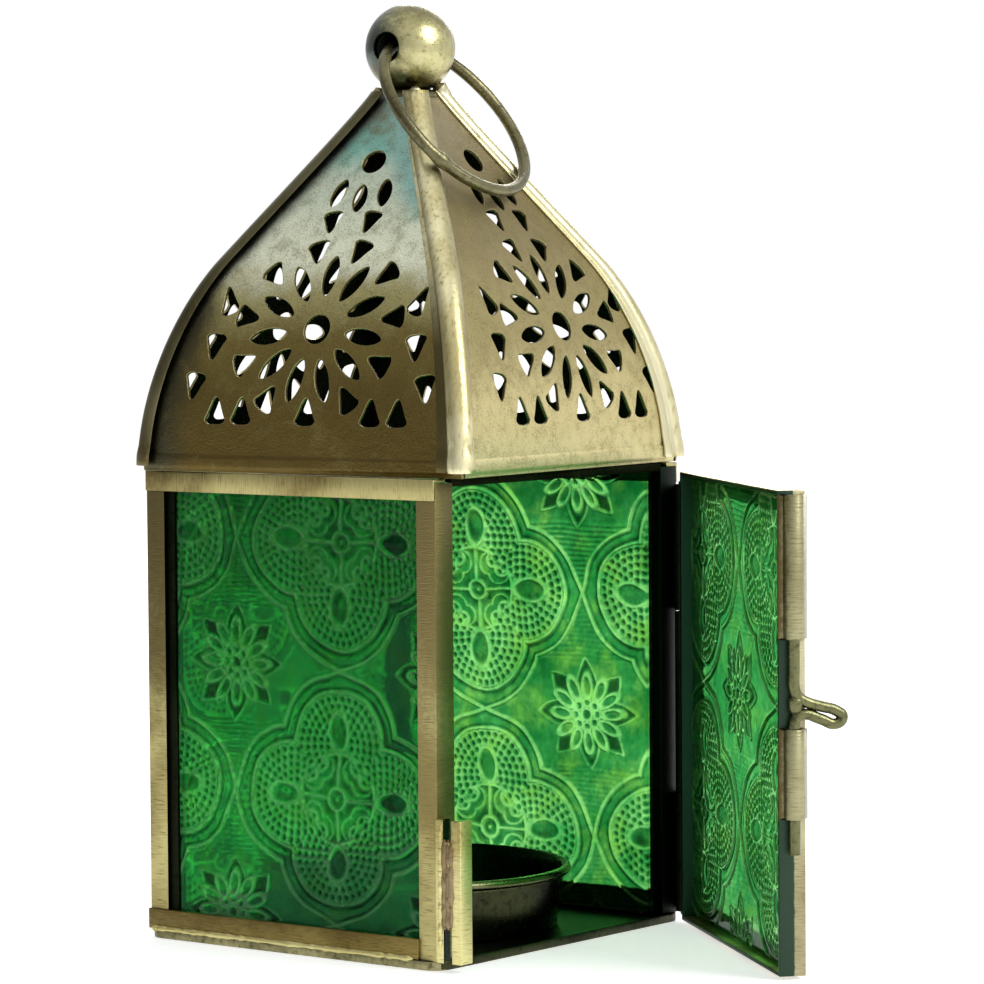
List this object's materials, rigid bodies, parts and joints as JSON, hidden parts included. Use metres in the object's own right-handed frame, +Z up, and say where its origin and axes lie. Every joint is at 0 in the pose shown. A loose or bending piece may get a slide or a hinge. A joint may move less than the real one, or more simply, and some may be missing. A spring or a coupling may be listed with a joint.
{
  "type": "tealight lantern",
  "caption": "Square glazed tealight lantern with pierced ogee roof, hinged door with sliding bolt, candle cup and loose carrying ring.",
  "frame": {"origin": "middle of the underside of the base plate, where the lantern rests", "axes": "+Z up; -Y towards the door side, with the hinge at +X and the latch at -X; the door stands open at rest"},
  "size_m": [0.0692, 0.1168, 0.1471],
  "materials": {
    "brass_strip": "brushed, cleaned antique brass with fine cross scratches",
    "brass_roof": "antique brass with olive and brown patina and a cool heat tint towards the top",
    "dark_brass": "dark, dull patinated brass",
    "brass_wire": "smooth antique brass with brown stains",
    "green_glass": "emerald green rolled glass, embossed on its outside with a traditional pattern of rosettes and four-petal flowers"
  },
  "bodies": {
    "lantern": {"base_plate": "dark_brass", "tealight_cup": "dark_brass", "top_rail_front": "dark_brass", "post_front_left": "brass_strip", "post_front_right": "brass_strip", "post_back_left": "brass_strip", "post_back_right": "brass_strip", "top_rail_left": "brass_strip", "top_rail_right": "brass_strip", "top_rail_back": "brass_strip", "bottom_rail_left": "brass_strip", "bottom_rail_right": "brass_strip", "bottom_rail_back": "brass_strip", "glass_left": "green_glass", "glass_right": "green_glass", "glass_back": "green_glass", "roof_panel_front": "brass_roof", "roof_panel_right": "brass_roof", "roof_panel_back": "brass_roof", "roof_panel_left": "brass_roof", "hip_rib_front_left": "brass_strip", "hip_rib_front_right": "brass_strip", "hip_rib_back_left": "brass_strip", "hip_rib_back_right": "brass_strip", "ball_finial": "brass_wire", "hinge_knuckle_lower": "brass_strip", "hinge_knuckle_upper": "brass_strip", "hinge_pin": "brass_wire", "latch_keeper": "brass_strip"},
    "door": {"door_stile_hinge": "brass_strip", "door_stile_latch": "brass_strip", "door_rail_top": "brass_strip", "door_rail_bottom": "brass_strip", "door_glass": "green_glass", "door_knuckle": "brass_strip", "latch_sleeve_upper": "brass_strip", "latch_sleeve_lower": "brass_strip"},
    "bolt": {"latch_bolt": "brass_wire"},
    "ring": {"carrying_ring": "brass_wire"}
  },
  "joints": [
    {"name": "door_hinge", "type": "hinge", "parent": "lantern", "child": "door", "pos_m": [0.0303, -0.0306, 0.0358], "axis": [0, 0, 1], "range_deg": [-50, 100]},
    {"name": "bolt_slide", "type": "slide", "parent": "door", "child": "bolt", "axis": [0, 0, 1], "range_m": [0, 0.006]},
    {"name": "ring_swing", "type": "hinge", "parent": "lantern", "child": "ring", "pos_m": [0, 0, 0.13996], "axis": [-0.9972, -0.075, 0], "range_deg": [0, 285]}
  ]
}
